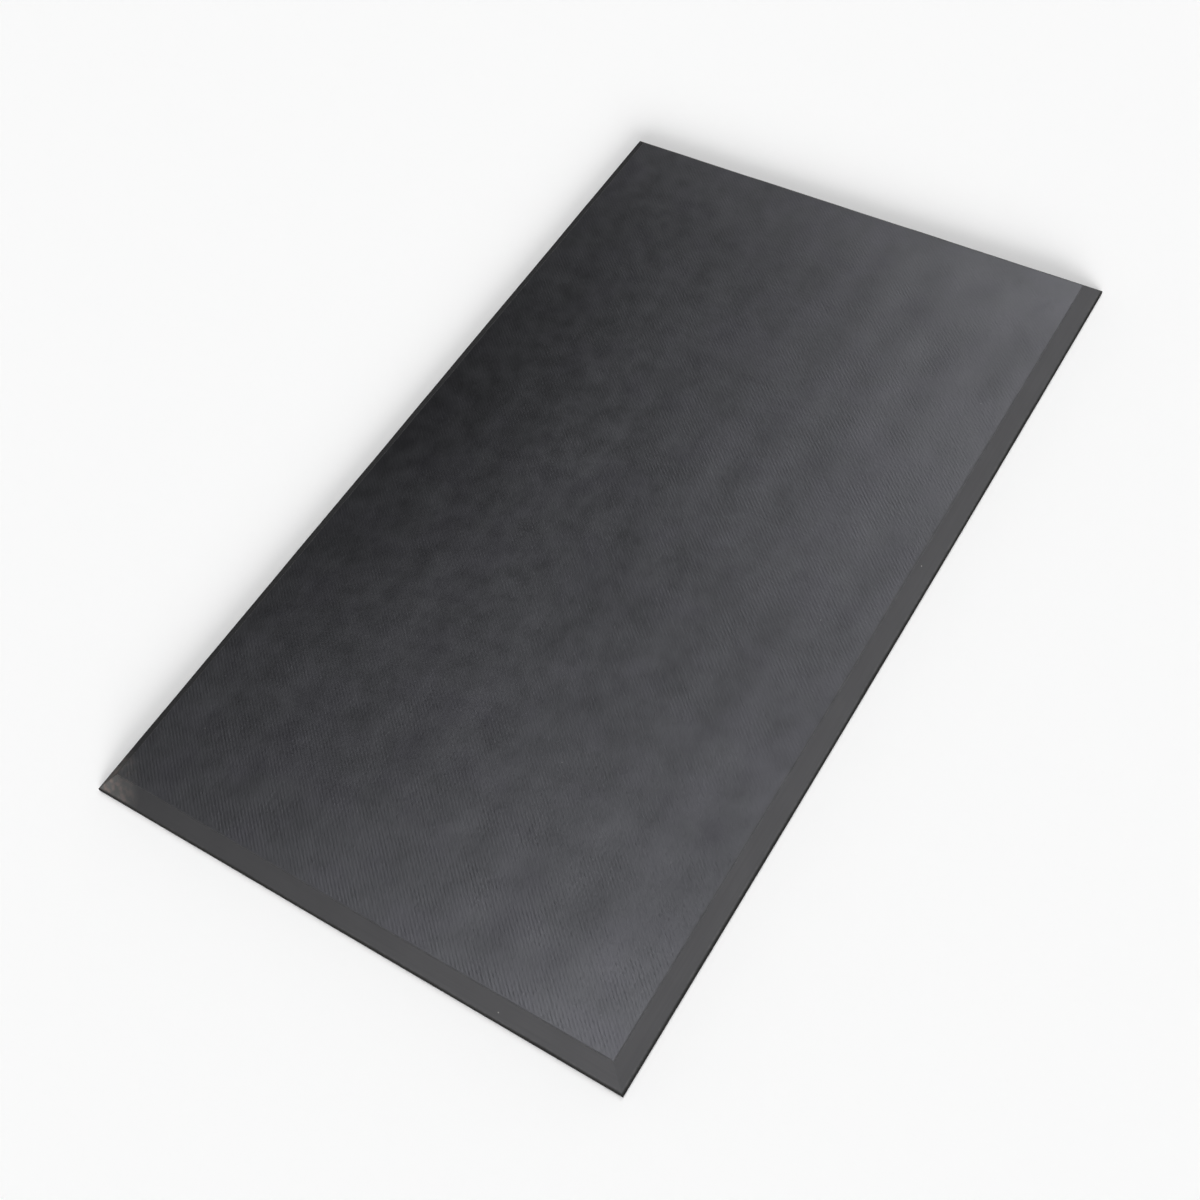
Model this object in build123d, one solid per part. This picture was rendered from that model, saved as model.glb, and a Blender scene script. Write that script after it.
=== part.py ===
from build123d import *
import os

# Anti-fatigue floor mat, in millimetres.
# A textured rubber wear layer lies on a cellular foam core. Both are bonded to a thin rubber base sheet
# that covers the whole footprint, and four mitred bevel strips frame the core and carry the wear layer's rim.
# Origin: centre of the underside. +X runs along the long side, +Y along the short side, +Z up.

# Driving dimensions
LENGTH = 762.0  # overall, along X
WIDTH = 445.0  # overall, along Y
THICKNESS = 16.0  # floor to standing surface
BEVEL_RUN = 13.0  # plan width of the sloping border
LIP_HEIGHT = 3.0  # square edge under the bevel
WEAR_THICKNESS = 2.0
BASE_THICKNESS = 1.5
WEAR_STEP = 0.5  # the wear layer stands this far above the top of the bevel
WEAR_EDGE_RADIUS = 0.4
SHELF_WIDTH = 8.0  # part of each strip that reaches under the wear layer

# Round cells moulded into the foam core, and shallow grip pockets in the base sheet on the same pitch
CELL_PITCH = 44.0
CELL_RADIUS = 15.0
CELL_DEPTH = 8.0
CELL_ROOF_RADIUS = 3.0
POCKET_SIDE = 35.0
POCKET_CORNER_RADIUS = 6.0
POCKET_DEPTH = 0.6

# Levels, plan sizes and cell counts that follow from the driving dimensions
WEAR_UNDERSIDE = THICKNESS - WEAR_THICKNESS
BEVEL_TOP = THICKNESS - WEAR_STEP
STRIP_WIDTH = BEVEL_RUN + SHELF_WIDTH
PANEL_LENGTH = LENGTH - 2 * BEVEL_RUN
PANEL_WIDTH = WIDTH - 2 * BEVEL_RUN
CORE_LENGTH = LENGTH - 2 * STRIP_WIDTH
CORE_WIDTH = WIDTH - 2 * STRIP_WIDTH
CELL_COLUMNS = int(CORE_LENGTH // CELL_PITCH)  # along X
CELL_ROWS = int(CORE_WIDTH // CELL_PITCH)  # along Y


def slab(length, width, bottom, top):
    """A rectangular layer centred on the Z axis."""
    return Pos(0, 0, bottom) * extrude(Rectangle(length, width), top - bottom)


def make_wear_layer():
    """The sheet that is stood on, with an eased top rim."""
    layer = slab(PANEL_LENGTH, PANEL_WIDTH, WEAR_UNDERSIDE, THICKNESS)
    rim = layer.edges().group_by(Axis.Z)[-1]
    return fillet(rim, WEAR_EDGE_RADIUS)


def make_cushion_core():
    """Foam block with a grid of blind air cells that open downwards and are closed by the base sheet."""
    block = slab(CORE_LENGTH, CORE_WIDTH, BASE_THICKNESS, WEAR_UNDERSIDE)
    cell = extrude(Circle(CELL_RADIUS), CELL_DEPTH)
    cell = fillet(cell.edges().group_by(Axis.Z)[-1], CELL_ROOF_RADIUS)
    grid = GridLocations(CELL_PITCH, CELL_PITCH, CELL_COLUMNS, CELL_ROWS)
    cells = [Pos(0, 0, BASE_THICKNESS) * place * cell for place in grid]
    return block - cells


def make_base_sheet():
    """Full-footprint sheet. Its underside is a flat web around shallow square grip pockets."""
    sheet = slab(LENGTH, WIDTH, 0, BASE_THICKNESS)
    outline = RectangleRounded(POCKET_SIDE, POCKET_SIDE, POCKET_CORNER_RADIUS)
    pocket = extrude(outline, POCKET_DEPTH)
    grid = GridLocations(CELL_PITCH, CELL_PITCH, CELL_COLUMNS, CELL_ROWS)
    return sheet - [place * pocket for place in grid]


def strip_section():
    """Section of a bevel strip: X is the distance inwards from the mat's edge, Y is the height."""
    corners = [
        (0, BASE_THICKNESS),
        (0, LIP_HEIGHT),
        (BEVEL_RUN, BEVEL_TOP),
        (BEVEL_RUN, WEAR_UNDERSIDE),
        (STRIP_WIDTH, WEAR_UNDERSIDE),
        (STRIP_WIDTH, BASE_THICKNESS),
    ]
    return make_face(Polyline(*corners, close=True))


def make_edge_strip(side_length):
    """A strip along +X whose outer edge lies on Y = 0, both ends mitred at 45 degrees."""
    half = side_length / 2
    section_plane = Plane(origin=(-half, 0, 0), x_dir=(0, 1, 0), z_dir=(1, 0, 0))
    bar = extrude(section_plane * strip_section(), side_length)
    plan = [(-half, 0), (half, 0), (half - STRIP_WIDTH, STRIP_WIDTH), (STRIP_WIDTH - half, STRIP_WIDTH)]
    mitre = extrude(make_face(Polyline(*plan, close=True)), THICKNESS)
    return bar & mitre


def main():
    long_strip = make_edge_strip(LENGTH)
    short_strip = make_edge_strip(WIDTH)
    nodes = {
        "wear_layer": make_wear_layer(),
        "cushion_core": make_cushion_core(),
        "base_sheet": make_base_sheet(),
        "front_edge_strip": Pos(0, -WIDTH / 2, 0) * long_strip,
        "back_edge_strip": Pos(0, WIDTH / 2, 0) * Rot(0, 0, 180) * long_strip,
        "right_edge_strip": Pos(LENGTH / 2, 0, 0) * Rot(0, 0, 90) * short_strip,
        "left_edge_strip": Pos(-LENGTH / 2, 0, 0) * Rot(0, 0, -90) * short_strip,
    }
    os.makedirs("parts", exist_ok=True)
    for name, shape in nodes.items():
        export_step(shape, f"parts/{name}.step")


main()
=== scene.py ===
import math

import bpy
import numpy as np
from mathutils import Matrix, Vector


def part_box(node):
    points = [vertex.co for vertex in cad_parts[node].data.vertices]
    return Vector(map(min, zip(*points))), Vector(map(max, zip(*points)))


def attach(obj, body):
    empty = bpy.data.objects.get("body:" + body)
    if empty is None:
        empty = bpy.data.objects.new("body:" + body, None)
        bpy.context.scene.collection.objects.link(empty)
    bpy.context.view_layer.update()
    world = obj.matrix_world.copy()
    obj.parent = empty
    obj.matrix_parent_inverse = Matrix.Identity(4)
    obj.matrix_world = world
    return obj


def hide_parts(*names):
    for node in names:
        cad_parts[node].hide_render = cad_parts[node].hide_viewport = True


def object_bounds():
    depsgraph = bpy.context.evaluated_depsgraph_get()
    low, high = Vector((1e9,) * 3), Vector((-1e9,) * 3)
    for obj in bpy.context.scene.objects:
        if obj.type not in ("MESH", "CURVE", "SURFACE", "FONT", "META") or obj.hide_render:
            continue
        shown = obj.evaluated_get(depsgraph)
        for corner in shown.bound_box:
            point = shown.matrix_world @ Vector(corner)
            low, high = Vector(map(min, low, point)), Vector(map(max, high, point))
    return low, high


# Looks of a laminated anti-fatigue mat: an embossed wear sheet, four smooth bevelled borders with mitred
# corners, a base sheet with grip pockets, and the foam core between them. Everything is in metres.
# +X runs along the long side, +Y along the short side, +Z up, and the floor is at Z = 0.

MM = 0.001
RANDOM_SEED = 7

# Emboss of the wear sheet: short ribs along the +X +Y diagonal, one to each cell of a fine lattice
EMBOSS_PITCH_X = 3.26 * MM
EMBOSS_PITCH_Y = 3.60 * MM
EMBOSS_DEPTH = 0.034 * MM  # rib crest to valley
EMBOSS_GAP = 0.015 * MM  # dip between two ribs on the same line
EMBOSS_SPREAD = 0.026 * MM  # how much single ribs differ
EMBOSS_WANDER = 0.15  # how far a crest strays from its place, as a share of the pitch
EMBOSS_LEFT = 1.8  # the emboss is this many times as deep at the left-hand end
EMBOSS_RIGHT = 0.9  # and this many times at the right-hand end
EMBOSS_PATCH = 25 * MM  # size of the patches in which the ribs are deeper or shallower
PATCH_MIDDLE = 0.95  # usual depth in a patch, as a share of the full one
PATCH_SWING = 0.25
PATCH_LEAST = 0.4
PATCH_MOST = 1.5

# Rolled rim of the wear sheet: millimetres outwards and below the top
RIM_PROFILE = [(0.15, 0.03), (0.30, 0.11), (0.42, 0.24), (0.50, 0.40), (0.54, 0.58)]
RIM_NOTCH = 0.6  # share of the emboss that each loop of the rim passes on to the next

# Soft relief of the standing surface: dimples over the cells in the core, and slow waves
CELL_PITCH = 44 * MM
DIMPLE_DEPTH = 0.30 * MM
DIMPLE_RADIUS = 12 * MM
DIMPLE_LEAST = 0.2  # shallowest and deepest dimple, as shares of the usual one
DIMPLE_MOST = 1.4
SWELL_HEIGHT = 0.12 * MM  # slow waves in the sheet
SWELL_SIZE = 110 * MM
RELIEF_FADE = 30 * MM  # the relief fades out over this distance to the rim

# Bevelled borders
LIP_TOP = 3.0 * MM
BORDER_STEP = 3.0 * MM  # mesh spacing along a border
JOINT_GAP = 0.02 * MM
SHARP_ARRIS = 0.15 * MM
LIP_ARRIS = 0.4 * MM
HIDDEN_ARRIS = 0.3 * MM
BORDER_WAVE = 0.12 * MM
WAVE_REACH = 6 * MM  # the wave dies out this far in from the mat's edge
LIP_WAVE_RISE = 2.1 * MM  # and grows from nothing at the joint with the base to its full size this far above
FLAT_KEEPER = 0.12 * MM  # distance from an arc to the point that keeps its shading off the flat
STREAK_LENGTH = 60 * MM
STREAK_WIDTH = 1.5 * MM

# The long front side bows outwards a little at its middle
FRONT_BOW = 1.2 * MM

# Recesses under the base sheet and under the core, one to each cell of the grid
POCKET_SIDE = 35 * MM
POCKET_CORNER = 6 * MM
POCKET_DEPTH = 0.6 * MM
CELL_RADIUS = 15 * MM
CELL_DEPTH = 8 * MM
CELL_ROOF_RADIUS = 3 * MM
CELL_ROOF_STEPS = 4
RECESS_POINTS = 32
CORE_ARRIS = 0.6 * MM
SLAB_STEP = 6 * MM  # mesh spacing around a slab's wall

# Camera
CAMERA_PLACE = Vector((-0.590, -0.464, 0.995))
CAMERA_AIM = Vector((-0.079, -0.0205, 0.016))
CAMERA_ROLL = math.radians(11.1)
CAMERA_LENS = 48.3

# Linear colours
WEAR_DARK = (0.0150, 0.0154, 0.0162)
WEAR_LIGHT = (0.0235, 0.0238, 0.0258)
WEAR_PURPLE = (0.0225, 0.0212, 0.0262)
WEAR_GRAIN = (0.032, 0.032, 0.034)
RIM_WORN = (0.062, 0.062, 0.065)
WEAR_TINT = (0.91, 0.92, 1.0)
WEAR_ROUGHNESS = 0.34
WEAR_BACK = 0.65  # painted shade that falls off towards the back: brightness of the sheet's colour at the back edge
WEAR_FRONT = 1.30  # and at the front edge
WEAR_ENDS = 1.6  # the colour is this many times as bright again at the two ends
WEAR_ENDS_SIZE = 90 * MM
RIM_START = 0.7 * MM  # the rubbed rim begins this far from the sheet's edge
RIM_FULL = 0.3 * MM
RIM_GLOSS = 0.25
SHADE_PATCH_PLACE = 20 * MM  # along the back edge, the middle of a stretch painted darker as shade and made duller
SHADE_PATCH_REACH = 150 * MM
SHADE_PATCH_FULL = 20 * MM  # it is dullest within this distance
SHADE_PATCH_SQUEEZE = 0.45  # its size across the mat, as a share of its size along the edge
SHADE_PATCH_COLOUR = 0.45
SHADE_PATCH_GLOSS = 0.62
BORDER_DARK = (0.0430, 0.0428, 0.0446)
BORDER_LIGHT = (0.0570, 0.0566, 0.0590)
BORDER_WORN = (0.110, 0.109, 0.108)
BORDER_GLOSS = 0.15
BORDER_GRAZING_GLOSS = 0.008
# Painted shade that falls off towards the back: the borders' brightness at the back edge and at the front
# edge
BORDER_BACK = 0.52
BORDER_FRONT = 1.12
BORDER_TINT = (0.98, 0.98, 1.0)
# Colour of the borders' lip, painted near black as the shade along it, with saw marks
SHADED_LIP_DARK = (0.0100, 0.0100, 0.0098)
SHADED_LIP_LIGHT = (0.0300, 0.0295, 0.0285)
# The base sheet's near-black colour also passes for the shade along the lip
BASE_DARK = (0.0040, 0.0040, 0.0041)
BASE_LIGHT = (0.0080, 0.0080, 0.0082)
BASE_WORN = (0.030, 0.029, 0.028)
FOAM_DARK = (0.020, 0.020, 0.021)
FOAM_LIGHT = (0.034, 0.034, 0.035)
FOAM_PORE = (0.008, 0.008, 0.008)
DUST = (0.30, 0.29, 0.28)
CORNER_BROWN = (0.150, 0.122, 0.112)
CORNER_GREY = (0.088, 0.089, 0.086)
CORNER_REACH = 38 * MM  # the pale brownish corner patch fades out at this distance
CORNER_FULL = 12 * MM
NOISE_LOW = 0.3  # nearly all of a noise texture lies between these two values
NOISE_HIGH = 0.7

FLOOR_TONE = 0.98
FLOOR_HALF = 40.0  # half the side of the floor
FLOOR_DROP = 0.1 * MM  # keeps the floor clear of the underside

# Studio lamps: name, heading from +X in degrees, height above the floor in degrees, strength
LAMP_SPREAD = math.radians(20)
LAMPS = [
    ("overhead", 25, 80, 0.91),
    ("overhead_back", 60, 68, 0.14),
    ("overhead_left", 180, 75, 0.10),
    ("right", 10, 50, 0.505),
    ("low_left", 205, 16, 1.50),
    ("low_near", 225, 16, 2.30),
]
GLOW_LOW = 0.9  # strength of the glow near the horizon
GLOW_HIGH = 0.06  # and above it
GLOW_LOW_TOP = 0.1  # sine of the height at which it starts to fall
GLOW_HIGH_FOOT = 0.55  # and of the height at which it has fallen
BACKDROP_TONE = 0.95

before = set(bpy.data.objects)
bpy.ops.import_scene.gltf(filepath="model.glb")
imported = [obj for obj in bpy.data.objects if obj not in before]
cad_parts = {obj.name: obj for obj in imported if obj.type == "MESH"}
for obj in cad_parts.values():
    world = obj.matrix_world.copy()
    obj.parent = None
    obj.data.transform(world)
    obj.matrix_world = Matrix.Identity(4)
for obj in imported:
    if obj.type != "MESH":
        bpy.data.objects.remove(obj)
cad_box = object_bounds()
random = np.random.default_rng(RANDOM_SEED)
half_length = cad_box[1].x
half_width = cad_box[1].y
core_low, core_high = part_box("cushion_core")
cell_columns = int((core_high.x - core_low.x) // CELL_PITCH)
cell_rows = int((core_high.y - core_low.y) // CELL_PITCH)


# ---------------------------------------------------------------- geometry helpers

def smooth_step(t):
    t = np.clip(t, 0.0, 1.0)
    return t * t * (3 - 2 * t)


def soft_noise(x, y, size, waves=14):
    """A smooth random pattern, mostly between -1.4 and 1.4, with bumps of about the given size."""
    total = np.zeros_like(x)
    for _ in range(waves):
        heading = random.uniform(0, 2 * math.pi)
        length = 2 * size * random.uniform(0.7, 1.4)
        phase = random.uniform(0, 2 * math.pi)
        total += np.sin((x * math.cos(heading) + y * math.sin(heading)) * 2 * math.pi / length + phase)
    return total / math.sqrt(waves)


def bow(points):
    """Pushes the front side outwards at its middle, less and less towards the back."""
    moved = np.array(points, float)
    along = 1 - (moved[:, 0] / half_length) ** 2
    nearness = smooth_step(0.5 - 0.5 * moved[:, 1] / half_width)
    moved[:, 1] -= FRONT_BOW * along * nearness
    return moved


def make_piece(name, points, faces, material, node, smooth_faces):
    """A mesh piece that stands for one CAD node and rides on the mat's only body."""
    mesh = bpy.data.meshes.new(name)
    mesh.from_pydata(bow(points).tolist(), [], [tuple(int(i) for i in face) for face in faces])
    mesh.polygons.foreach_set("use_smooth", np.asarray(smooth_faces, bool))
    mesh.materials.append(material)
    mesh.validate()
    mesh.update()
    piece = bpy.data.objects.new(name, mesh)
    bpy.context.scene.collection.objects.link(piece)
    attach(piece, "root")
    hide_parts(node)
    return piece


def ring_faces(inner, outer):
    """Quads between two anticlockwise loops of vertex numbers. They face up where the outer loop is the
    wider one, and towards the loops' middle where it is the higher one."""
    after_inner = np.roll(inner, -1)
    after_outer = np.roll(outer, -1)
    return np.stack([inner, outer, after_outer, after_inner], axis=1).tolist()


def cell_centre(column, row):
    return np.array([column - (cell_columns - 1) / 2, row - (cell_rows - 1) / 2]) * CELL_PITCH


# ---------------------------------------------------------------- wear sheet

def surface_relief(x, y):
    """Height of the soft dimples over the core's cells and of the slow waves, zero near the rim."""
    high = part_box("wear_layer")[1]
    height = np.zeros_like(x)
    for column in range(cell_columns):
        for row in range(cell_rows):
            cell_x, cell_y = cell_centre(column, row)
            depth = DIMPLE_DEPTH * random.uniform(DIMPLE_LEAST, DIMPLE_MOST)
            square = (x - cell_x) ** 2 + (y - cell_y) ** 2
            height -= depth * np.exp(-square / (2 * DIMPLE_RADIUS ** 2))
    height += SWELL_HEIGHT * soft_noise(x, y, SWELL_SIZE)
    to_rim = np.minimum(high.x - np.abs(x), high.y - np.abs(y))
    return height * smooth_step(to_rim / RELIEF_FADE)


def emboss_field(field_x, field_y):
    """The ribs inside the rim: their points, with heights from the crests down, their triangles, and the
    numbers of the outline's points, anticlockwise."""
    columns = round(2 * field_x / EMBOSS_PITCH_X)
    rows = round(2 * field_y / EMBOSS_PITCH_Y)
    pitch_x = 2 * field_x / columns
    pitch_y = 2 * field_y / rows

    def lattice(count_x, count_y, shift_x, shift_y, depth):
        """Points of one kind, one to each lattice square, shifted by a share of the pitch."""
        x, y = np.meshgrid(np.arange(count_x) + shift_x, np.arange(count_y) + shift_y, indexing="ij")
        z = -depth + random.uniform(-1, 0, x.shape) * EMBOSS_SPREAD
        return np.stack([x.ravel() * pitch_x - field_x, y.ravel() * pitch_y - field_y, z.ravel()], axis=1)

    nodes = lattice(columns + 1, rows + 1, 0, 0, EMBOSS_GAP)
    valleys = lattice(columns, rows + 1, 0.5, 0, EMBOSS_DEPTH)
    crests = lattice(columns, rows, 0.5, 0.5, 0)
    wander = random.uniform(-EMBOSS_WANDER, EMBOSS_WANDER, (len(crests), 2))
    crests[:, :2] += wander * (pitch_x, pitch_y)
    node = np.arange(len(nodes)).reshape(columns + 1, rows + 1)
    valley = len(nodes) + np.arange(len(valleys)).reshape(columns, rows + 1)
    crest = len(nodes) + len(valleys) + np.arange(len(crests)).reshape(columns, rows)

    # Every rib runs node, crest, node along the diagonal, and every valley line runs between two ribs.
    triangles = [
        (node[:-1, :-1], valley[:, :-1], crest),
        (crest, valley[:, :-1], node[1:, 1:]),
        (node[:-1, :-1], crest, valley[:, 1:]),
        (crest, node[1:, 1:], valley[:, 1:]),
        (node[1:-1, 1:], valley[:-1, :-1], valley[1:, 1:]),
        (node[1:-1, :-1], valley[1:, 1:], valley[:-1, :-1]),
        (node[0, :-1], valley[0, 1:], node[0, 1:]),
        (valley[-1, :-1], node[-1, :-1], node[-1, 1:]),
    ]
    faces = []
    for corners in triangles:
        faces += np.stack([corner.ravel() for corner in corners], axis=1).tolist()
    points = np.concatenate([nodes, valleys, crests])
    x, y = points[:, 0], points[:, 1]
    patches = PATCH_MIDDLE + PATCH_SWING * soft_noise(x, y, EMBOSS_PATCH)
    patches = np.clip(patches, PATCH_LEAST, PATCH_MOST)
    points[:, 2] *= patches * np.interp(x, [-field_x, field_x], [EMBOSS_LEFT, EMBOSS_RIGHT])

    front = np.stack([node[:-1, 0], valley[:, 0]], axis=1).ravel()
    back = np.stack([node[1:, -1], valley[:, -1]], axis=1)[::-1].ravel()
    outline = np.concatenate([front, node[-1, :-1], back, node[0, :0:-1]])
    return points, faces, outline


def build_wear_sheet(material):
    low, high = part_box("wear_layer")
    rim_width = RIM_PROFILE[-1][0] * MM
    field_x = high.x - rim_width
    field_y = high.y - rim_width
    points, faces, outline = emboss_field(field_x, field_y)
    smooth_faces = [False] * len(faces)
    emboss = points[:, 2].copy()
    points[:, 2] += high.z + surface_relief(points[:, 0], points[:, 1])

    # The rolled rim, the wall and the underside
    field_outline = points[outline]
    notches = emboss[outline]
    wall = [(rim_width / MM, (high.z - low.z) / MM)]
    for outwards, depth in RIM_PROFILE + wall:
        loop = field_outline.copy()
        loop[:, 0] *= 1 + outwards * MM / field_x
        loop[:, 1] *= 1 + outwards * MM / field_y
        loop[:, 2] = high.z - depth * MM + notches
        notches = notches * RIM_NOTCH
        ring = len(points) + np.arange(len(loop))
        points = np.concatenate([points, loop])
        faces += ring_faces(outline, ring)
        smooth_faces += [True] * len(loop)
        outline = ring
    faces.append(outline[::-1].tolist())
    smooth_faces.append(False)
    return make_piece("wear_sheet", points, faces, material, "wear_layer", smooth_faces)


# ---------------------------------------------------------------- borders

def rounded_outline(corners, steps=4):
    """Points of a closed outline in which each corner (x, y, radius) becomes an arc. A point just before
    and just after each arc keeps the smooth shading of the arc off the flat beside it."""
    outline = []
    for index, (x, y, radius) in enumerate(corners):
        corner = np.array([x, y])
        before = np.array(corners[index - 1][:2]) - corner
        after = np.array(corners[(index + 1) % len(corners)][:2]) - corner
        before /= np.linalg.norm(before)
        after /= np.linalg.norm(after)
        if radius == 0:
            outline.append(corner)
            continue
        half_angle = math.acos(np.clip(before @ after, -1, 1)) / 2
        reach = radius / math.tan(half_angle)
        bisector = (before + after) / np.linalg.norm(before + after)
        centre = corner + bisector * radius / math.sin(half_angle)
        start = corner + before * reach - centre
        end = corner + after * reach - centre
        sweep = math.acos(np.clip(start @ end / radius ** 2, -1, 1))
        outline.append(centre + start + before * FLAT_KEEPER)
        for step in range(steps + 1):
            share = step / steps
            arc = (math.sin((1 - share) * sweep) * start + math.sin(share * sweep) * end) / math.sin(sweep)
            outline.append(centre + arc)
        outline.append(centre + end + after * FLAT_KEEPER)
    return np.array(outline)


def border_section():
    """Section of a border: distance inwards from the mat's edge, and height."""
    low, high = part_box("front_edge_strip")
    wear_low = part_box("wear_layer")[0]
    bottom = low.z + JOINT_GAP
    ridge = wear_low.y - low.y - JOINT_GAP
    shelf = wear_low.z - JOINT_GAP
    inner = high.y - low.y - JOINT_GAP
    corners = [
        (0.0, bottom, SHARP_ARRIS),
        (0.0, LIP_TOP, LIP_ARRIS),
        (ridge, high.z, SHARP_ARRIS),
        (ridge, shelf, 0.0),
        (inner, shelf, HIDDEN_ARRIS),
        (inner, bottom, HIDDEN_ARRIS),
    ]
    return rounded_outline(corners)


def build_border(name, node, turn, side_half, edge_distance, material):
    """One border strip, made along +X with its outer edge at -edge_distance in Y, then turned about Z."""
    section = border_section()
    count = round(2 * side_half / BORDER_STEP)
    share = np.linspace(-1, 1, count + 1)
    end_keeper = 1 - FLAT_KEEPER / side_half
    share = np.concatenate([[-1, -end_keeper], share[1:-1], [end_keeper, 1]])
    phases = random.uniform(0, 2 * math.pi, 4)
    waves = sum(np.sin(share * (5 + 4 * k) * 2.1 + phase) / (k + 1) for k, phase in enumerate(phases))
    waves = waves * BORDER_WAVE * (1 - share ** 8)
    inwards, height = section[:, 0], section[:, 1]
    x = share[:, None] * (side_half - inwards - JOINT_GAP)[None, :]
    outer_weight = smooth_step(1 - inwards / WAVE_REACH)
    outer_weight *= smooth_step((height - height.min()) / LIP_WAVE_RISE)
    y = -edge_distance + inwards[None, :] + np.zeros_like(x)
    z = height[None, :] + waves[:, None] * outer_weight[None, :]
    points = np.stack([x.ravel(), y.ravel(), z.ravel()], axis=1)
    size = len(section)
    index = np.arange(len(points)).reshape(len(share), size)
    here, ahead = index[:-1], index[1:]
    quads = np.stack([here, ahead, np.roll(ahead, -1, axis=1), np.roll(here, -1, axis=1)], axis=2)
    faces = quads.reshape(-1, 4).tolist()
    smooth_faces = [True] * len(faces)
    faces += [index[0].tolist(), index[-1][::-1].tolist()]
    smooth_faces += [False, False]
    turned = points @ np.array(Matrix.Rotation(turn, 3, "Z")).T
    return make_piece(name, turned, faces, material, node, smooth_faces)


def build_borders():
    quarter = math.pi / 2
    long_rubber = border_rubber("long_border_rubber", (STREAK_LENGTH, STREAK_WIDTH, STREAK_WIDTH))
    short_rubber = border_rubber("short_border_rubber", (STREAK_WIDTH, STREAK_LENGTH, STREAK_WIDTH))
    build_border("front_border", "front_edge_strip", 0, half_length, half_width, long_rubber)
    build_border("right_border", "right_edge_strip", quarter, half_width, half_length, short_rubber)
    build_border("back_border", "back_edge_strip", 2 * quarter, half_length, half_width, long_rubber)
    build_border("left_border", "left_edge_strip", 3 * quarter, half_width, half_length, short_rubber)


# ---------------------------------------------------------------- slabs with recesses underneath

def circle(radius):
    """An anticlockwise circle that starts on the (-X, -Y) diagonal."""
    angle = -0.75 * math.pi + np.arange(RECESS_POINTS) * 2 * math.pi / RECESS_POINTS
    return radius * np.stack([np.cos(angle), np.sin(angle)], axis=1)


def rounded_square(side, corner_radius):
    """An anticlockwise rounded square that starts on the (-X, -Y) diagonal."""
    per_corner = RECESS_POINTS // 4
    reach = side / 2 - corner_radius
    points = []
    for corner in range(4):
        middle = -0.75 * math.pi + corner * math.pi / 2
        sign = np.array([np.sign(math.cos(middle)), np.sign(math.sin(middle))])
        for step in range(per_corner):
            angle = middle + (step - (per_corner - 1) / 2) / (per_corner - 1) * math.pi / 2
            points.append(sign * reach + corner_radius * np.array([math.cos(angle), math.sin(angle)]))
    return np.roll(np.array(points), -(per_corner // 2), axis=0)


def add_recesses(points, faces, recess_loops, corner_index):
    """Adds a recess under each cell, and the flat tile around its mouth."""
    quarter = RECESS_POINTS // 4
    for column in range(cell_columns):
        for row in range(cell_rows):
            tile = [
                corner_index[column, row],
                corner_index[column + 1, row],
                corner_index[column + 1, row + 1],
                corner_index[column, row + 1],
            ]
            centre = cell_centre(column, row)
            loop_before = None
            for outline, height in recess_loops:
                loop = len(points) + np.arange(RECESS_POINTS)
                points.extend((x, y, height) for x, y in outline + centre)
                if loop_before is None:
                    for side in range(4):
                        arc = [loop[(side * quarter + step) % RECESS_POINTS] for step in range(quarter + 1)]
                        faces.append(arc + [tile[(side + 1) % 4], tile[side]])
                else:
                    faces += ring_faces(loop_before, loop)
                loop_before = loop
            faces.append(loop_before[::-1].tolist())


def add_wall(points, faces, high, side_profile):
    """Adds a slab's outer wall and top. Returns the wall's lowest loop and its steps along X and along Y."""
    count_x = round(2 * high.x / SLAB_STEP)
    count_y = round(2 * high.y / SLAB_STEP)
    side_x = np.linspace(-1, 1, count_x + 1)
    side_y = np.linspace(-1, 1, count_y + 1)
    unit = [(x, -1) for x in side_x[:-1]] + [(1, y) for y in side_y[:-1]]
    unit += [(-x, 1) for x in side_x[:-1]] + [(-1, -y) for y in side_y[:-1]]
    unit = np.array(unit)
    loops = []
    for inset, height in side_profile:
        loops.append(len(points) + np.arange(len(unit)))
        size = np.array([high.x - inset, high.y - inset])
        points.extend((x, y, height) for x, y in unit * size)
    for lower, upper in zip(loops, loops[1:]):
        faces += ring_faces(upper, lower)
    faces.append(loops[-1].tolist())
    return loops[0], count_x, count_y


def build_recessed_slab(name, node, material, recess_loops, side_profile):
    """A slab whose underside has a grid of recesses. recess_loops are (outline, height), from the mouth
    upwards. side_profile is (inset, height) up the outer wall."""
    points, faces = [], []

    # Corners of the square tiles around the recesses
    corner_count = (cell_columns + 1) * (cell_rows + 1)
    corner_index = np.arange(corner_count).reshape(cell_columns + 1, cell_rows + 1)
    mouth_height = side_profile[0][1]
    for column in range(cell_columns + 1):
        for row in range(cell_rows + 1):
            x = (column - cell_columns / 2) * CELL_PITCH
            y = (row - cell_rows / 2) * CELL_PITCH
            points.append((x, y, mouth_height))
    add_recesses(points, faces, recess_loops, corner_index)
    edge, count_x, count_y = add_wall(points, faces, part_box(node)[1], side_profile)

    # The web between the tiles and the slab's edge, one face to each side
    sides = [corner_index[:, 0], corner_index[-1, :], corner_index[::-1, -1], corner_index[0, ::-1]]
    starts = np.cumsum([0, count_x, count_y, count_x, count_y])
    for side in range(4):
        outer = [edge[i % len(edge)] for i in range(starts[side], starts[side + 1] + 1)]
        faces.append(list(sides[side]) + outer[::-1])
    smooth_faces = [False] * len(faces)
    return make_piece(name, np.array(points, float), faces, material, node, smooth_faces)


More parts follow.
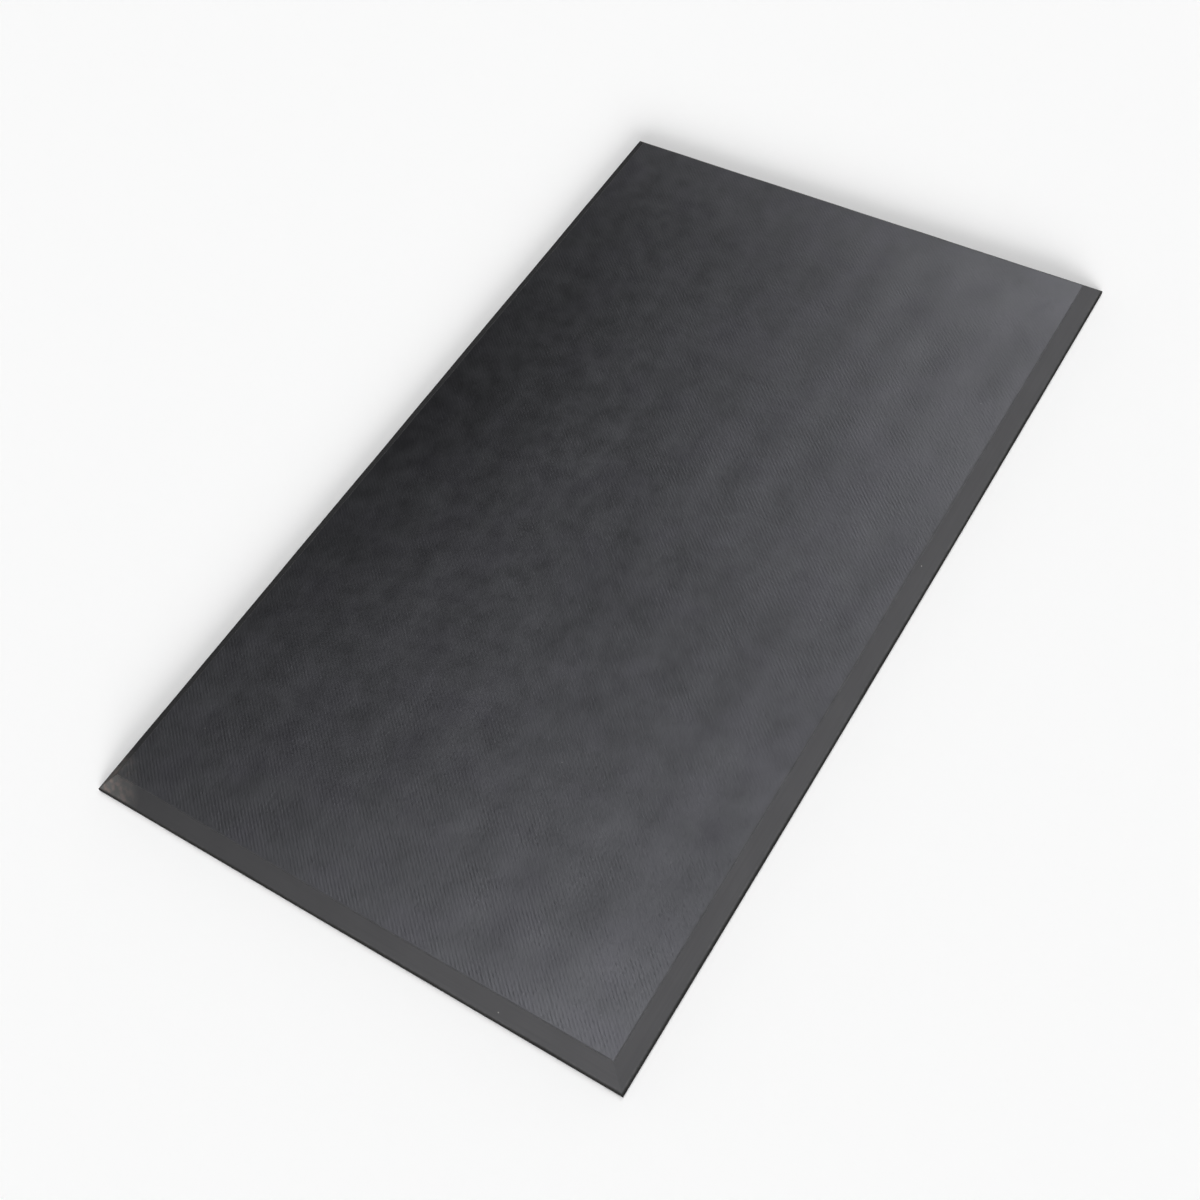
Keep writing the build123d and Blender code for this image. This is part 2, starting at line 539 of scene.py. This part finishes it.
def build_base_sheet(material):
    low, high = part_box("base_sheet")
    mouth = low.z
    roof = mouth + POCKET_DEPTH
    loops = [
        (rounded_square(POCKET_SIDE, POCKET_CORNER), mouth),
        (rounded_square(POCKET_SIDE - 0.5 * MM, POCKET_CORNER), mouth + 0.15 * MM),
        (rounded_square(POCKET_SIDE - 0.8 * MM, POCKET_CORNER), roof - 0.15 * MM),
        (rounded_square(POCKET_SIDE - 1.4 * MM, POCKET_CORNER), roof),
    ]
    profile = [
        (0.3 * MM, low.z),
        (0.05 * MM, low.z + 0.25 * MM),
        (0.0, low.z + 0.5 * MM),
        (0.0, high.z - 0.2 * MM),
        (0.1 * MM, high.z),
    ]
    return build_recessed_slab("base_mat", "base_sheet", material, loops, profile)


def build_core(material):
    low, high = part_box("cushion_core")
    roof = low.z + CELL_DEPTH
    loops = [(circle(CELL_RADIUS), low.z + JOINT_GAP)]
    for step in range(CELL_ROOF_STEPS + 1):
        angle = step / CELL_ROOF_STEPS * math.pi / 2
        radius = CELL_RADIUS - CELL_ROOF_RADIUS * (1 - math.cos(angle))
        loops.append((circle(radius), roof - CELL_ROOF_RADIUS * (1 - math.sin(angle))))
    profile = [
        (CORE_ARRIS, low.z + JOINT_GAP),
        (JOINT_GAP, low.z + CORE_ARRIS),
        (JOINT_GAP, high.z - CORE_ARRIS),
        (CORE_ARRIS, high.z - JOINT_GAP),
    ]
    return build_recessed_slab("foam_core", "cushion_core", material, loops, profile)


# ---------------------------------------------------------------- materials

def add_node(tree, kind, inputs=None, **settings):
    """Adds a shader node. Each input is a plain value or the socket to link from."""
    node = tree.nodes.new(kind)
    for name, value in settings.items():
        setattr(node, name, value)
    for name, value in (inputs or {}).items():
        if isinstance(value, bpy.types.NodeSocket):
            tree.links.new(value, node.inputs[name])
        else:
            node.inputs[name].default_value = value
    return node


def new_material(name):
    """A material, its node tree and the socket that gives a point's place in metres."""
    material = bpy.data.materials.new(name)
    material.use_nodes = True
    tree = material.node_tree
    place = add_node(tree, "ShaderNodeTexCoord").outputs["Object"]
    return material, tree, place


def noise(tree, place, size, detail=2.0, shift=0.0):
    """Noise from about 0 to 1. size is that of its spots in metres, or one size for each axis."""
    sizes = size if isinstance(size, tuple) else (size, size, size)
    factors = [1 / axis_size for axis_size in sizes]
    inputs = {0: place, 1: factors, 2: (shift, shift, shift)}
    scaled = add_node(tree, "ShaderNodeVectorMath", inputs, operation="MULTIPLY_ADD").outputs[0]
    texture = add_node(tree, "ShaderNodeTexNoise", {"Vector": scaled, "Scale": 1.0, "Detail": detail})
    return texture.outputs["Fac"]


def remap(tree, value, from_low, from_high, to_low=0.0, to_high=1.0):
    """Stretches a range of values to another one and clips it there."""
    inputs = {
        "Value": value,
        "From Min": from_low,
        "From Max": from_high,
        "To Min": to_low,
        "To Max": to_high,
    }
    return add_node(tree, "ShaderNodeMapRange", inputs).outputs["Result"]


def spread(tree, texture, low, high):
    """Stretches a noise's usual range to the given one."""
    return remap(tree, texture, NOISE_LOW, NOISE_HIGH, low, high)


def fade(tree, share, at_none, at_full):
    """Goes from one value where the share is 0 to another where it is 1."""
    return remap(tree, share, 0.0, 1.0, at_none, at_full)


def calculate(tree, operation, first, second):
    return add_node(tree, "ShaderNodeMath", {0: first, 1: second}, operation=operation).outputs[0]


def multiply(tree, first, second):
    return calculate(tree, "MULTIPLY", first, second)


def as_input(colour):
    return colour if isinstance(colour, bpy.types.NodeSocket) else (*colour, 1)


def mix(tree, share, first, second):
    """Blends two colours. A colour is three numbers or a socket."""
    inputs = {0: share, 6: as_input(first), 7: as_input(second)}
    return add_node(tree, "ShaderNodeMix", inputs, data_type="RGBA").outputs[2]


def shrink(tree, place, size):
    """Places measured in the given size instead of in metres."""
    return add_node(tree, "ShaderNodeVectorMath", {0: place, 3: 1 / size}, operation="SCALE").outputs[0]


def distance_from(tree, place, centre):
    inputs = {0: place, 1: centre}
    return add_node(tree, "ShaderNodeVectorMath", inputs, operation="DISTANCE").outputs["Value"]


def height_of(tree, place):
    return add_node(tree, "ShaderNodeSeparateXYZ", {"Vector": place}).outputs["Z"]


def specks(tree, place, spacing, radius, share):
    """1 inside small scattered spots and 0 elsewhere. Only the given share of the spots is kept."""
    inputs = {"Vector": shrink(tree, place, spacing), "Scale": 1.0, "Randomness": 1.0}
    cells = add_node(tree, "ShaderNodeTexVoronoi", inputs)
    spot = remap(tree, cells.outputs["Distance"], radius / spacing, 0.5 * radius / spacing)
    chance = add_node(tree, "ShaderNodeSeparateColor", {"Color": cells.outputs["Color"]}).outputs[0]
    kept = calculate(tree, "LESS_THAN", chance, share)
    return multiply(tree, spot, kept)


def pebbles(tree, place, size):
    """Rounded grains from 0 at their middles to about 1 between them."""
    inputs = {"Vector": shrink(tree, place, size), "Scale": 1.0}
    return add_node(tree, "ShaderNodeTexVoronoi", inputs).outputs["Distance"]


def bump(tree, height, distance, under=None):
    """A bump whose full height is the given distance in metres, on top of another one."""
    inputs = {"Height": height, "Distance": distance, "Strength": 1.0}
    if under is not None:
        inputs["Normal"] = under
    return add_node(tree, "ShaderNodeBump", inputs).outputs["Normal"]


def painted_shade_falloff(tree, place, at_back, at_front):
    """Painted shade that falls off towards the back: a brightness factor that goes from one value at the
    back edge to another at the front edge.
    """
    across = add_node(tree, "ShaderNodeSeparateXYZ", {"Vector": place}).outputs["Y"]
    return remap(tree, across, half_width, -half_width, at_back, at_front)


def brighten(tree, colour, factor):
    return add_node(tree, "ShaderNodeVectorMath", {0: colour, 3: factor}, operation="SCALE").outputs[0]


def pale_corner_patch(tree, place, colour):
    """A paler brownish patch on the left-hand back corner, over the borders and the sheet."""
    distance = distance_from(tree, place, (-half_length, half_width, 4 * MM))
    patch = remap(tree, noise(tree, place, 14 * MM, 3.0, 2.0), 0.3, 0.6, 0.4, 0.9)
    share = multiply(tree, remap(tree, distance, CORNER_REACH, CORNER_FULL), patch)
    brush = remap(tree, noise(tree, place, 4 * MM, 4.0, 9.0), 0.45, 0.65)
    return mix(tree, share, colour, mix(tree, brush, CORNER_GREY, CORNER_BROWN))


def back_shade_patch(tree, place):
    """1 at the middle of the stretch of the back edge that is painted darker as shade and made duller, down
    to 0 all round it.
    """
    inputs = {0: place, 1: (SHADE_PATCH_SQUEEZE, 1, 0)}
    flat = add_node(tree, "ShaderNodeVectorMath", inputs, operation="MULTIPLY").outputs[0]
    distance = distance_from(tree, flat, (SHADE_PATCH_SQUEEZE * SHADE_PATCH_PLACE, half_width, 0))
    return remap(tree, distance, SHADE_PATCH_REACH, SHADE_PATCH_FULL)


def finish_rubber(tree, colour, roughness, normal, gloss, tint):
    """Links a rubber's colour, roughness, normal and gloss to its shader. gloss is a number or a socket."""
    shader = tree.nodes["Principled BSDF"]
    tree.links.new(colour, shader.inputs["Base Color"])
    tree.links.new(roughness, shader.inputs["Roughness"])
    tree.links.new(normal, shader.inputs["Normal"])
    if isinstance(gloss, bpy.types.NodeSocket):
        tree.links.new(gloss, shader.inputs["Specular IOR Level"])
    else:
        shader.inputs["Specular IOR Level"].default_value = gloss
    shader.inputs["Specular Tint"].default_value = (*tint, 1)


def wear_rubber():
    """Charcoal sheet with a faint blue cast, cloudy in tone, with fine grain and a few specks of dust."""
    material, tree, place = new_material("wear_rubber")
    clouds = noise(tree, place, 60 * MM, 3.0)
    patches = noise(tree, place, 14 * MM, 2.0, 5.0)
    patch_share = spread(tree, patches, 0.6, 1.0)
    tone = multiply(tree, spread(tree, clouds, 0.6, 1.0), patch_share)
    colour = mix(tree, tone, WEAR_DARK, WEAR_LIGHT)
    hue = noise(tree, place, 30 * MM, 1.0, 11.0)
    colour = mix(tree, remap(tree, hue, 0.45, 0.7, 0.0, 0.5), colour, WEAR_PURPLE)
    grain = noise(tree, place, 0.7 * MM, 2.0)
    colour = mix(tree, remap(tree, grain, 0.5, 0.8, 0.0, 0.2), colour, WEAR_GRAIN)
    dust = specks(tree, place, 26 * MM, 0.5 * MM, 0.35)
    colour = mix(tree, multiply(tree, dust, 0.3), colour, DUST)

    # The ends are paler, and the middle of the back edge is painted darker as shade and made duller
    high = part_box("wear_layer")[1]
    from_axes = add_node(tree, "ShaderNodeVectorMath", {0: place}, operation="ABSOLUTE").outputs[0]
    from_axes = add_node(tree, "ShaderNodeSeparateXYZ", {"Vector": from_axes})
    ends = remap(tree, from_axes.outputs["X"], high.x - WEAR_ENDS_SIZE, high.x, 1.0, WEAR_ENDS)
    shade_patch = back_shade_patch(tree, place)
    darkening = fade(tree, shade_patch, 1.0, SHADE_PATCH_COLOUR)
    colour = brighten(tree, colour, multiply(tree, ends, darkening))

    # The rolled rim is rubbed as light as the borders beside it
    end_rim = remap(tree, from_axes.outputs["X"], high.x - RIM_START, high.x - RIM_FULL)
    side_rim = remap(tree, from_axes.outputs["Y"], high.y - RIM_START, high.y - RIM_FULL)
    rim = calculate(tree, "MAXIMUM", end_rim, side_rim)
    colour = mix(tree, multiply(tree, rim, patch_share), colour, RIM_WORN)
    # Painted shade: the sheet's colour darkens towards the back edge
    colour = brighten(tree, colour, painted_shade_falloff(tree, place, WEAR_BACK, WEAR_FRONT))
    colour = pale_corner_patch(tree, place, colour)

    patch_roughness = spread(tree, patches, -0.03, 0.03)
    grain_roughness = spread(tree, grain, WEAR_ROUGHNESS - 0.03, WEAR_ROUGHNESS + 0.03)
    roughness = calculate(tree, "ADD", patch_roughness, grain_roughness)
    bloom = calculate(tree, "ADD", multiply(tree, clouds, 0.5), multiply(tree, patches, 0.5))
    gloss = spread(tree, bloom, 0.44, 0.56)
    gloss = multiply(tree, gloss, fade(tree, rim, 1.0, RIM_GLOSS))
    gloss = multiply(tree, gloss, fade(tree, shade_patch, 1.0, SHADE_PATCH_GLOSS))
    normal = bump(tree, grain, 0.03 * MM)
    normal = bump(tree, noise(tree, place, 2.4 * MM, 2.0, 3.0), 0.05 * MM, normal)
    finish_rubber(tree, colour, roughness, normal, gloss, WEAR_TINT)
    return material


def border_rubber(name, streak_size):
    """Smooth neutral charcoal with faint streaks along the strip, a rough lip with saw marks whose
    near-black colour is painted shade, and scuffed arrises.
    """
    material, tree, place = new_material(name)
    height = height_of(tree, place)
    streaks = noise(tree, place, streak_size, 3.0)
    clouds = noise(tree, place, 35 * MM, 3.0, 2.0)
    fine = noise(tree, place, 0.5 * MM, 2.0)
    tone = multiply(tree, spread(tree, streaks, 0.5, 1.0), spread(tree, clouds, 0.6, 1.0))
    colour = mix(tree, tone, BORDER_DARK, BORDER_LIGHT)

    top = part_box("front_edge_strip")[1].z
    scuffs = remap(tree, noise(tree, place, 3 * MM, 3.0, 7.0), 0.45, 0.7)
    low_arris = remap(tree, height, LIP_TOP + 2.2 * MM, LIP_TOP + 1.0 * MM)
    high_arris = remap(tree, height, top - 0.7 * MM, top - 0.1 * MM)
    arris = calculate(tree, "MAXIMUM", low_arris, high_arris)
    worn = multiply(tree, arris, fade(tree, scuffs, 0.05, 0.5))
    colour = mix(tree, worn, colour, BORDER_WORN)
    dust = specks(tree, place, 18 * MM, 0.6 * MM, 0.3)
    colour = mix(tree, multiply(tree, dust, 0.7), colour, DUST)
    # Painted shade: the border's colour darkens towards the back edge
    colour = brighten(tree, colour, painted_shade_falloff(tree, place, BORDER_BACK, BORDER_FRONT))
    colour = pale_corner_patch(tree, place, colour)

    # The lip is painted near black as shade, with saw marks in its colour and bump
    shaded_lip = remap(tree, height, LIP_TOP + 1.5 * MM, LIP_TOP + 0.4 * MM)
    saw_marks = noise(tree, place, (0.6 * MM, 0.6 * MM, 6 * MM), 2.0, 4.0)
    colour = mix(tree, shaded_lip, colour, mix(tree, saw_marks, SHADED_LIP_DARK, SHADED_LIP_LIGHT))
    smooth = calculate(tree, "ADD", spread(tree, streaks, -0.04, 0.04), spread(tree, fine, 0.58, 0.66))
    roughness = calculate(tree, "MAXIMUM", smooth, fade(tree, shaded_lip, 0.0, 0.9))
    normal = bump(tree, fine, 0.008 * MM)
    normal = bump(tree, streaks, 0.05 * MM, normal)
    normal = bump(tree, multiply(tree, saw_marks, shaded_lip), 0.15 * MM, normal)

    # The gloss fades where the strip is seen at a low angle, and the lip painted dark as shade has none
    slant = add_node(tree, "ShaderNodeLayerWeight", {"Blend": 0.5}).outputs["Facing"]
    slanted_gloss = remap(tree, slant, 0.5, 0.75, BORDER_GLOSS, BORDER_GRAZING_GLOSS)
    gloss = calculate(tree, "MINIMUM", slanted_gloss, fade(tree, shaded_lip, BORDER_GLOSS, 0.0))
    finish_rubber(tree, colour, roughness, normal, gloss, BORDER_TINT)
    return material


def base_rubber():
    """Black sheet with a pebbled underside, scuffed where it touches the floor. Its near-black colour also
    passes for the shade along the lip.
    """
    material, tree, place = new_material("base_rubber")
    height = height_of(tree, place)
    web = remap(tree, height, 0.3 * MM, 0.1 * MM)
    clouds = noise(tree, place, 40 * MM, 3.0)
    scuffs = remap(tree, noise(tree, place, 6 * MM, 4.0, 3.0), 0.45, 0.75)
    grains = pebbles(tree, place, 1.6 * MM)
    colour = mix(tree, clouds, BASE_DARK, BASE_LIGHT)
    crowns = remap(tree, grains, 0.6, 0.1, 0.2, 0.8)
    worn = multiply(tree, multiply(tree, web, scuffs), crowns)
    colour = mix(tree, worn, colour, BASE_WORN)
    dust = specks(tree, place, 14 * MM, 0.5 * MM, 0.5)
    colour = mix(tree, multiply(tree, dust, 0.6), colour, DUST)
    roughness = fade(tree, scuffs, 0.62, 0.82)
    normal = bump(tree, grains, -0.16 * MM)
    normal = bump(tree, noise(tree, place, 0.4 * MM, 2.0), 0.03 * MM, normal)

    # Above the pockets' roofs only the outer wall shows, and it is matte
    wall = remap(tree, height, POCKET_DEPTH + 0.02 * MM, POCKET_DEPTH + 0.06 * MM)
    gloss = fade(tree, wall, 0.4, 0.05)
    finish_rubber(tree, colour, roughness, normal, gloss, BORDER_TINT)
    return material


def core_foam():
    """Matte closed-cell foam with fine pores."""
    material, tree, place = new_material("core_foam")
    pores = pebbles(tree, place, 0.9 * MM)
    clouds = noise(tree, place, 20 * MM, 3.0)
    colour = mix(tree, clouds, FOAM_DARK, FOAM_LIGHT)
    colour = mix(tree, remap(tree, pores, 0.35, 0.1, 0.0, 0.7), colour, FOAM_PORE)
    roughness = spread(tree, clouds, 0.85, 0.98)
    normal = bump(tree, pores, 0.25 * MM)
    normal = bump(tree, noise(tree, place, 5 * MM, 2.0), 0.2 * MM, normal)
    finish_rubber(tree, colour, roughness, normal, 0.2, BORDER_TINT)
    return material


# ---------------------------------------------------------------- stage, lights and camera

def build_stage():
    half = FLOOR_HALF
    mesh = bpy.data.meshes.new("floor")
    corners = [(-half, -half, 0), (half, -half, 0), (half, half, 0), (-half, half, 0)]
    mesh.from_pydata(corners, [], [(0, 1, 2, 3)])
    floor = bpy.data.objects.new("floor", mesh)
    floor.location.z = -FLOOR_DROP
    bpy.context.scene.collection.objects.link(floor)
    paint = bpy.data.materials.new("floor_paint")
    paint.use_nodes = True
    shader = paint.node_tree.nodes["Principled BSDF"]
    shader.inputs["Base Color"].default_value = (FLOOR_TONE, FLOOR_TONE, FLOOR_TONE, 1)
    shader.inputs["Roughness"].default_value = 0.9
    mesh.materials.append(paint)


def build_camera():
    data = bpy.data.cameras.new("camera")
    data.lens = CAMERA_LENS
    data.sensor_width = 36
    camera = bpy.data.objects.new("camera", data)
    bpy.context.scene.collection.objects.link(camera)
    aim = (CAMERA_AIM - CAMERA_PLACE).to_track_quat("-Z", "Y").to_matrix()
    turned = aim @ Matrix.Rotation(-CAMERA_ROLL, 3, "Z")
    camera.matrix_world = Matrix.Translation(CAMERA_PLACE) @ turned.to_4x4()
    bpy.context.scene.camera = camera


def soft_lamp(name, heading, height, strength):
    """A distant lamp with a wide disc, so the floor is lit evenly and shadows are soft."""
    data = bpy.data.lights.new(name, "SUN")
    data.angle = LAMP_SPREAD
    data.energy = strength
    lamp = bpy.data.objects.new(name, data)
    bpy.context.scene.collection.objects.link(lamp)
    heading, height = math.radians(heading), math.radians(height)
    level = math.cos(height)
    towards = Vector((math.cos(heading) * level, math.sin(heading) * level, math.sin(height)))
    lamp.matrix_world = towards.to_track_quat("Z", "Y").to_matrix().to_4x4()


def build_lights():
    """Soft lamps, a glow from all round that is strongest near the horizon, and a pale backdrop."""
    world = bpy.data.worlds.new("studio")
    bpy.context.scene.world = world
    world.use_nodes = True
    tree = world.node_tree
    direction = add_node(tree, "ShaderNodeTexCoord").outputs["Generated"]
    rise = height_of(tree, direction)
    glow = remap(tree, rise, GLOW_LOW_TOP, GLOW_HIGH_FOOT, GLOW_LOW, GLOW_HIGH)
    seen = add_node(tree, "ShaderNodeLightPath").outputs["Is Camera Ray"]
    inputs = {0: seen, 2: glow, 3: BACKDROP_TONE}
    strength = add_node(tree, "ShaderNodeMix", inputs, data_type="FLOAT").outputs[0]
    background = tree.nodes["Background"]
    background.inputs["Color"].default_value = (1, 1, 1, 1)
    tree.links.new(strength, background.inputs["Strength"])
    for lamp in LAMPS:
        soft_lamp(*lamp)
    bpy.context.scene.view_settings.view_transform = "Standard"


build_wear_sheet(wear_rubber())
build_borders()
build_base_sheet(base_rubber())
build_core(core_foam())
build_stage()
build_lights()
build_camera()
